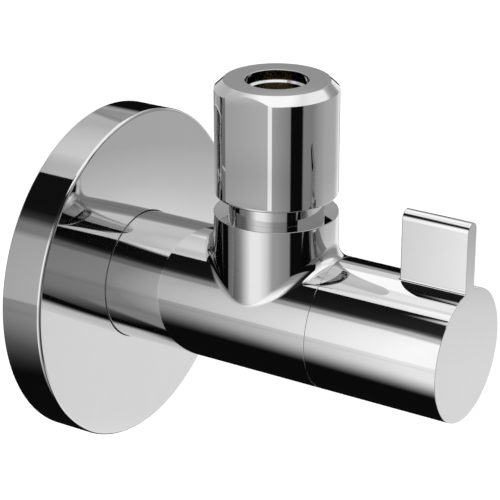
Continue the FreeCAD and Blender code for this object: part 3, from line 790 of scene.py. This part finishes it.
def mill(skin, bearing, reach):
    """Mills a flat down to the collar, and leaves the ledge at its foot."""
    direction = Vector((math.cos(bearing), math.sin(bearing), 0.0))
    place = Vector((0.0, -BRANCH_AT, 0.0)) + direction * reach
    skin.cut(
        place,
        direction,
        lambda middle: middle.z > FLATS_FROM + 0.01
        and math.hypot(middle.x, middle.y + BRANCH_AT) > NUT_TOP_FLAT + 0.01,
    )
    opened = [edge for edge in skin.bm.edges if edge.is_boundary]
    ledge = [edge for edge in opened if max(v.co.z for v in edge.verts) < FLATS_FROM + 0.01]
    flat = [edge for edge in opened if edge not in ledge]
    ends = {v for edge in ledge for v in edge.verts} & {v for edge in flat for v in edge.verts}
    foot = skin.bm.edges.new(sorted(ends, key=lambda v: v.co.y))
    skin.close(flat + [foot])
    skin.close(ledge + [foot])


# A narrow facet breaks each long edge between a flat and the round.
corner = math.sqrt(NUT**2 - HALF_ACROSS_FLATS**2)
lean = math.atan2(corner, HALF_ACROSS_FLATS) / 2.0
facet = HALF_ACROSS_FLATS * math.cos(lean) + (corner - FACET) * math.sin(lean)
for side in (0.0, math.pi):
    mill(nut, side, HALF_ACROSS_FLATS)
    mill(nut, side + lean, facet)
    mill(nut, side - lean, facet)
piece("nut_shell", nut, [polished_chrome], "nut", "chromed_nut", "union_nut")

# The handle: a zinc casting as wide as the barrel, with a flat lever cast on top, polished and
# chromed. A grub screw from below holds it on the splined insert over the spindle.
HANDLE_BACK = 48.64
HANDLE_FRONT = 73.0
SIDES_FROM = 50.0
SIDES_BEYOND = 77.0
SKIRT_BORE = 9.698
SKIRT_END = 56.0
CAVITY = 5.5
CAVITY_FROM = 57.0
CAVITY_TO = 66.8
CAVITY_END = 67.5
SCREW_AT = 62.0
SCREW_HOLE = 2.02
LEVER_HALF = 1.55
LEVER_BACK = 61.0
LEVER_BEYOND = 75.0
LEVER_CORNER = 0.15
LEVER_SHOULDER = 21.9
LEVER_STRAIGHT = 6.0
LEVER_ROUND = 1.5
LEVER_FILLET = 0.4
ROUND_STEPS = 8


def slab(count, half, back, front, corner):
    """The plan of an upright slab with rounded corners, from the middle of its right side."""
    side = count // 4
    straight = 0.85
    middle, length = (back + front) / 2.0, (front - back) / 2.0
    plan = []
    for index in range(side // 2, side // 2 + count):
        part = (index % side) / side * 2.0 - 1.0
        bend = max(0.0, (abs(part) - straight) / (1.0 - straight))
        turn = math.radians(45.0) * bend * math.copysign(1.0, part)
        run = max(-1.0, min(1.0, part / straight))
        ahead, aside = math.cos(turn), math.sin(turn)
        reach = (length if index // side % 2 == 0 else half) - corner
        depth = (half if index // side % 2 == 0 else length) - corner
        out, along = depth + corner * ahead, reach * run + corner * aside
        x, y, out_x, out_y = (
            (out, along, ahead, aside),
            (-along, out, -aside, ahead),
            (-out, -along, -ahead, -aside),
            (along, -out, aside, -ahead),
        )[index // side % 4]
        plan.append((x, middle + y, out_x, out_y))
    return plan


handle = Skin()
edge = border(AROUND, SIDES_FROM, SIDES_BEYOND)
plan = slab(AROUND, LEVER_HALF, LEVER_BACK, LEVER_BEYOND, LEVER_CORNER)
wall, foot = roll_down(handle, plan, BARREL, LEVER_FILLET, steps=8)
spread(handle, foot, BARREL, edge, steps=16)
hole = handle.ring(side_hole(edge, BARREL, SCREW_AT, SCREW_HOLE, upwards=-1.0))
spread(handle, hole, BARREL, edge, steps=16, upwards=-1.0)

# The lever's sides rise to its rounded top.
for step in range(-1, ROUND_STEPS + 1):
    angle = QUARTER * max(step, 0) / ROUND_STEPS
    narrow = (LEVER_HALF - LEVER_ROUND * (1.0 - math.cos(angle))) / LEVER_HALF
    height = LEVER_SHOULDER + LEVER_ROUND * math.sin(angle)
    height -= LEVER_STRAIGHT if step < 0 else 0.0
    spots = []
    for x, along, out_x, out_along in plan:
        looks = Vector((out_x * math.cos(angle), -out_along, abs(out_x) * math.sin(angle)))
        spots.append((Vector((x * narrow, -along, height)), looks))
    wall = handle.pull(wall, spots)
handle.close(handle.edges(wall))

# The cap's front and the lever's end are faced off in one plane.
bmesh.ops.remove_doubles(handle.bm, verts=handle.bm.verts, dist=WELD)
handle.cut(
    (0.0, EDGE - HANDLE_FRONT, 0.0), (0.0, -1.0, 0.0), lambda middle: middle.y < -SIDES_FROM
)
front = handle.rim(standing(HANDLE_FRONT - EDGE))
starts = [(vertex.co.copy(), Vector(vertex[handle.lean])) for vertex in front]
for along, inset, lean in ((EDGE * 0.7, 0.3, 0.7), (EDGE, 1.0, 1.0)):
    spots = []
    for place, looks in starts:
        looks = Vector((looks.x, 0.0, looks.z)).normalized()
        moved = place - looks * EDGE * inset - Vector((0.0, along, 0.0))
        spots.append((moved, looks * (1.0 - lean) - Vector((0.0, lean, 0.0))))
    front = handle.pull(front, spots)
handle.close(handle.edges(front))

# Behind, the cap is bored out over the headpart, with a narrower cavity for the insert.
ring = handle.rim(standing(SIDES_FROM))
turns = turns_of(ring)
for along, radius, lean in (
    (HANDLE_BACK + SEAM, BARREL, OUT),
    (HANDLE_BACK + SEAM * 0.3, BARREL - SEAM * 0.3, (-0.7, 0.7)),
    (HANDLE_BACK, BARREL - SEAM, (-1.0, 0.0)),
    (HANDLE_BACK, SKIRT_BORE + 0.102, None),
):
    ring = handle.pull(ring, hoop(on_axis, turns, along, radius, lean))
handle.coat = 1
for along, radius in (
    (HANDLE_BACK + 0.1, SKIRT_BORE),
    (SKIRT_END, SKIRT_BORE),
    (SKIRT_END, CAVITY),
    (CAVITY_FROM, CAVITY),
):
    ring = handle.pull(ring, hoop(on_axis, turns, along, radius))
edge = border(AROUND, CAVITY_FROM, CAVITY_TO)
inner_hole = handle.ring(side_hole(edge, CAVITY, SCREW_AT, SCREW_HOLE, upwards=-1.0))
skirt = spread(handle, inner_hole, CAVITY, edge, steps=8, upwards=-1.0)
half_turn(handle, skirt, CAVITY, upwards=1.0)
ring = handle.rim(standing(CAVITY_TO))
ring = handle.pull(ring, hoop(on_axis, turns_of(ring), CAVITY_END, CAVITY))
handle.close(handle.edges(ring))

# The screw's hole joins the outside to the cavity.
outer_rim = handle.rim(lambda v: v.co.z < -SKIRT_BORE)
inner_rim = handle.rim(lambda v: v.co.z > -SKIRT_BORE)
handle.bridge(outer_rim, inner_rim)
piece("handle_cap", handle, [polished_chrome, dull_chrome], "grip", "chromed_handle", "handle")
finish_nodes(white_acetal, "spline_insert")
finish_nodes(drawn_steel, "handle_grub_screw")

# The studio: a white floor far below, because the valve stands out from a wall, and a tent of
# lit screens close round it, which the camera looks in through. The screens' edges and levels
# were fitted to what the chrome mirrors in the photograph, and then rounded.
FLOOR_HEIGHT = -0.55
FLOOR_HALF = 6.0
FLOOR_GLOW = 0.4
TENT_RADIUS = 0.2
TENT_CENTRE = Vector((0.0, -0.035, 0.005))
GLOOM = 0.005
DEGREES = 180.0 / math.pi


def stage(name, bm, paint):
    mesh = bpy.data.meshes.new(name)
    bm.to_mesh(mesh)
    bm.free()
    mesh.materials.append(paint.material)
    made = bpy.data.objects.new(name, mesh)
    bpy.context.scene.collection.objects.link(made)
    return made


def seen_rays(paint):
    """1 where a ray comes from the camera, or from it by way of a mirror or glass."""
    path = paint.node("ShaderNodeLightPath").socket.node
    camera, glossy, through = (
        Wire(paint.tree, path.outputs[f"Is {kind} Ray"])
        for kind in ("Camera", "Glossy", "Transmission")
    )
    return camera.sum("MAXIMUM", camera.sum("MAXIMUM", camera, glossy), through)


bm = bmesh.new()
bmesh.ops.create_grid(bm, x_segments=8, y_segments=8, size=FLOOR_HALF)
bmesh.ops.translate(bm, verts=bm.verts, vec=(0.0, 0.0, FLOOR_HEIGHT))
floor_paint = Recipe("floor")
pale = floor_paint.node(
    "ShaderNodeBsdfDiffuse", {}, {"Color": (0.8, 0.8, 0.8, 1.0), "Roughness": 1.0}
)
strength = FLOOR_GLOW * seen_rays(floor_paint)
glow = floor_paint.node("ShaderNodeEmission", {}, {"Strength": strength})
both = floor_paint.node("ShaderNodeAddShader", {}, {0: pale, 1: glow})
floor_paint.node("ShaderNodeOutputMaterial", {}, {"Surface": both})
stage("floor", bm, floor_paint)

tent_paint = Recipe("tent")


def ease(value, start, end):
    """0 up to start and 1 from end, with a soft change between them."""
    return tent_paint.node(
        "ShaderNodeMapRange",
        {"interpolation_type": "SMOOTHSTEP"},
        {"Value": value, "From Min": start, "From Max": end},
    )


def tones(value, *stops):
    """A tone that runs straight from each of the given stops to the next."""
    low, high = stops[0][0], stops[-1][0]
    place = tent_paint.node(
        "ShaderNodeMapRange", {}, {"Value": value, "From Min": low, "From Max": high}
    )
    curve = [((at - low) / (high - low), tone) for at, tone in stops]
    return tent_paint.node("ShaderNodeValToRGB", {"stops": curve}, {"Fac": place})


def over(below, screen, mask):
    """Puts a screen in front of what is below it, where the mask is 1."""
    return below * (1.0 - mask) + screen * mask


# Where the tent is seen from its centre: its turn from the front and its rise, in degrees.
place = tent_paint.node("ShaderNodeTexCoord", output="Object")
outward = tent_paint.node(
    "ShaderNodeVectorMath", {"operation": "SUBTRACT"}, {0: place, 1: TENT_CENTRE}
)
outward = tent_paint.node("ShaderNodeVectorMath", {"operation": "NORMALIZE"}, {0: outward})
split = tent_paint.node("ShaderNodeSeparateXYZ", {}, {"Vector": outward}).socket.node
across, depth, height = (Wire(tent_paint.tree, socket) for socket in split.outputs)
turn = across.sum("ARCTAN2", across, 0.0 - depth) * DEGREES
rise = height.sum("ARCSINE", height) * DEGREES
side = across + 0.3 * height
left_half = side.sum("LESS_THAN", side, 0.0)
right_half = ease(side, -0.012, 0.012)


def band(value, start, end):
    """1 between two soft edges, each given by where it begins and where it is complete."""
    return ease(value, *start) * (1.0 - ease(value, *end))


def window(left, right, low, high):
    """A soft-edged oblong on the tent, by its left and right edges and its low and high ones."""
    return band(turn, left, right) * ease(rise, *low) * (1.0 - ease(rise, *high))


# The screens behind and overhead, which the tops and the escutcheon's face mirror.
behind = turn.sum("MAXIMUM", ease(turn, 137, 141), 1.0 - ease(turn, -185, -150))
backdrop = tones(rise, (-30, 0.0), (12, 0.75), (40, 0.65), (50, 0.9), (74, 1.3))
light = over(GLOOM, backdrop, behind * right_half * ease(rise, -30, -10))
ceiling = tones(rise, (20, 0.75), (26, 0.4), (34, 0.45), (58, 1.2), (66, 1.2), (74, 1.5))
light = over(light, ceiling, right_half * (1.0 - behind) * ease(rise, 18, 25))

# Three small panels on the ceiling: over the right shoulder, below that, and over the front.
light = over(light, 1.52, window((104, 112), (137, 145), (40, 46), (68, 76)))
light = over(light, 1.0, window((106, 110), (121, 125), (28, 31), (40, 44)))
light = over(light, 1.3, window((0, 10), (65, 75), (38, 44), (58, 66)))

# The right screen, brighter towards the wall and below, and a card on the floor under it.
width = tones(turn, (8, 0.3), (40, 0.67), (72, 0.7), (88, 1.05), (100, 1.2))
foot = tones(rise, (-25, 1.5), (-21, 1.4), (-18, 1.1), (-14, 0.85)) * width
capped = foot.sum("MINIMUM", foot, width.sum("MAXIMUM", width, 1.12))
foot = over(width, capped, ease(turn, 10, 45))
near = turn.sum("MAXIMUM", ease(rise, -28, -20), ease(turn, 30, 50))
foot = foot * over(0.25, 1.0, near)
above = over(0.65, 1.15, ease(turn, 78, 86))
screen = foot * over(1.0, above, ease(rise, -8, -3))
light = over(light, screen, window((-13, -9), (101, 106), (-48, -43), (19, 24)))
light = over(light, 1.15, window((-20, 8), (98, 106), (-76, -68), (-43, -39)))

# The left screen, a bright panel that leans back, with a faint line across it, and fades out
# towards its foot. A dimmer card lies on the floor under it.
panel = tones(
    turn, (-143, 0.4), (-125, 0.65), (-105, 1.5), (-88, 1.4), (-75, 1.05), (-65, 0.55), (-35, 0.35)
)
tilt = tones(turn, (-140, 0), (-110, 10.5), (-100, 8.5)) - 10.0
head = tones(rise - tilt, (30, 1), (33, 0.55), (37, 0.55), (41, 0.1), (45, 0.02))
drop = tones(turn, (-130, 0.6), (-105, 0.84), (-90, 0.9))
line = rise.sum("ABSOLUTE", rise + 13.5) / 2.2
line = 1.0 - 0.1 * (1.0 - line.sum("MINIMUM", line, 1.0))
middle = over(drop, 1.0, ease(rise, -8.5, -7.4)) * line
foot = tones(turn, (-135, 21), (-120, 10), (-100, 0)) - 48.0
fade = ease(rise, foot - 20.0, foot + 20.0)
panel = panel * head * middle * fade
panel = panel.sum("MAXIMUM", panel, GLOOM)
light = over(light, panel, band(turn, (-172, -160), (-35.5, -32.5)) * left_half)
light = over(light, 0.5, window((-82, -72), (-56, -50), (-70, -62), (-44, -34)))

# The overhead panel on the left, whose edge runs higher towards the wall.
overhead = tones(turn, (-100, 1.35), (-60, 1.6), (-10, 1.5))
rim = rise - tones(turn, (-112, 61), (-95, 58))
mask = band(turn, (-128, -120), (-8, 2)) * ease(rim, 0, 4)
light = over(light, overhead, mask * side.sum("LESS_THAN", side, 0.02))

lamp = tent_paint.node("ShaderNodeEmission", {}, {"Color": light, "Strength": 1.0})
tent_paint.node("ShaderNodeOutputMaterial", {}, {"Surface": lamp})
bm = bmesh.new()
bmesh.ops.create_icosphere(
    bm, subdivisions=6, radius=TENT_RADIUS, matrix=Matrix.Translation(TENT_CENTRE)
)
bmesh.ops.reverse_faces(bm, faces=bm.faces)
tent = stage("tent", bm, tent_paint)
tent.visible_camera = False
tent.visible_shadow = False

bpy.context.scene.world = bpy.data.worlds.new("studio")
sky = Recipe(bpy.context.scene.world)
brightness = 0.9 + 0.1 * seen_rays(sky)
background = sky.node(
    "ShaderNodeBackground", {}, {"Color": (1.0, 1.0, 1.0, 1.0), "Strength": brightness}
)
sky.node("ShaderNodeOutputWorld", {}, {"Surface": background})

# The camera stands left in front of the valve and a little above it, in metres.
CAMERA_AT = Vector((-0.27426, -0.20359, 0.14365))
CAMERA_AIM = Vector((0.000302, -0.030735, 0.009337))
camera = bpy.data.objects.new("camera", bpy.data.cameras.new("camera"))
camera.data.lens = 146.46
camera.data.sensor_width = 36.0
camera.data.clip_start = 0.01
camera.location = CAMERA_AT
camera.rotation_euler = (CAMERA_AIM - CAMERA_AT).to_track_quat("-Z", "Y").to_euler()
bpy.context.scene.collection.objects.link(camera)
bpy.context.scene.camera = camera
bpy.context.scene.view_settings.view_transform = "Standard"
